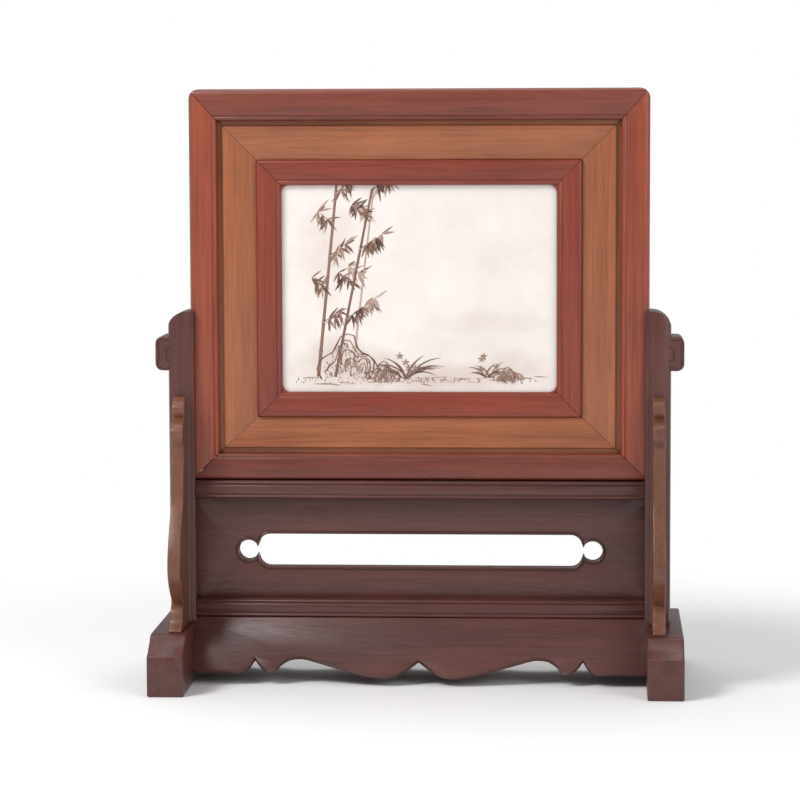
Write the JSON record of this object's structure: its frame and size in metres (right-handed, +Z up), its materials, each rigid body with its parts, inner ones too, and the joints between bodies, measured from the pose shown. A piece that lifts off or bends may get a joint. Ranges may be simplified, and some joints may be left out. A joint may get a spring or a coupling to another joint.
{
  "type": "table screen with porcelain plaque",
  "caption": "Hardwood table screen: a mitred frame holding a painted porcelain plaque lifts out of a stand with scrolled posts, spandrels, pierced waist panel and splayed aprons.",
  "frame": {"origin": "on the table under the middle of the stand", "axes": "+Z up, -Y towards the viewer, +X to the right"},
  "size_m": [0.526, 0.236, 0.5917],
  "materials": {
    "stand_wood": "satin lacquer",
    "frame_wood": "satin lacquer",
    "board_wood": "satin lacquer",
    "honey_wood": "satin lacquer",
    "back_wood": "matt",
    "porcelain": "gloss glaze with sepia overglaze painting"
  },
  "bodies": {
    "stand": {"foot_left": "stand_wood", "foot_right": "stand_wood", "post_left": "stand_wood", "post_right": "stand_wood", "spandrel_front_left": "honey_wood", "spandrel_front_right": "honey_wood", "spandrel_back_left": "honey_wood", "spandrel_back_right": "honey_wood", "upper_rail": "stand_wood", "lower_rail": "stand_wood", "waist_panel": "stand_wood", "apron_front": "stand_wood", "apron_back": "stand_wood"},
    "screen": {"frame_top_rail": "frame_wood", "frame_bottom_rail": "frame_wood", "frame_left_stile": "frame_wood", "frame_right_stile": "frame_wood", "middle_board_top": "board_wood", "middle_board_bottom": "board_wood", "middle_board_left": "board_wood", "middle_board_right": "board_wood", "inner_frame_top": "frame_wood", "inner_frame_bottom": "frame_wood", "inner_frame_left": "frame_wood", "inner_frame_right": "frame_wood", "porcelain_plaque": "porcelain", "back_board": "back_wood", "back_batten_lower": "back_wood", "back_batten_upper": "back_wood"}
  },
  "joints": [
    {"name": "screen_lift", "type": "slide", "parent": "stand", "child": "screen", "axis": [0, 0, 1], "range_m": [0, 0.2]}
  ]
}
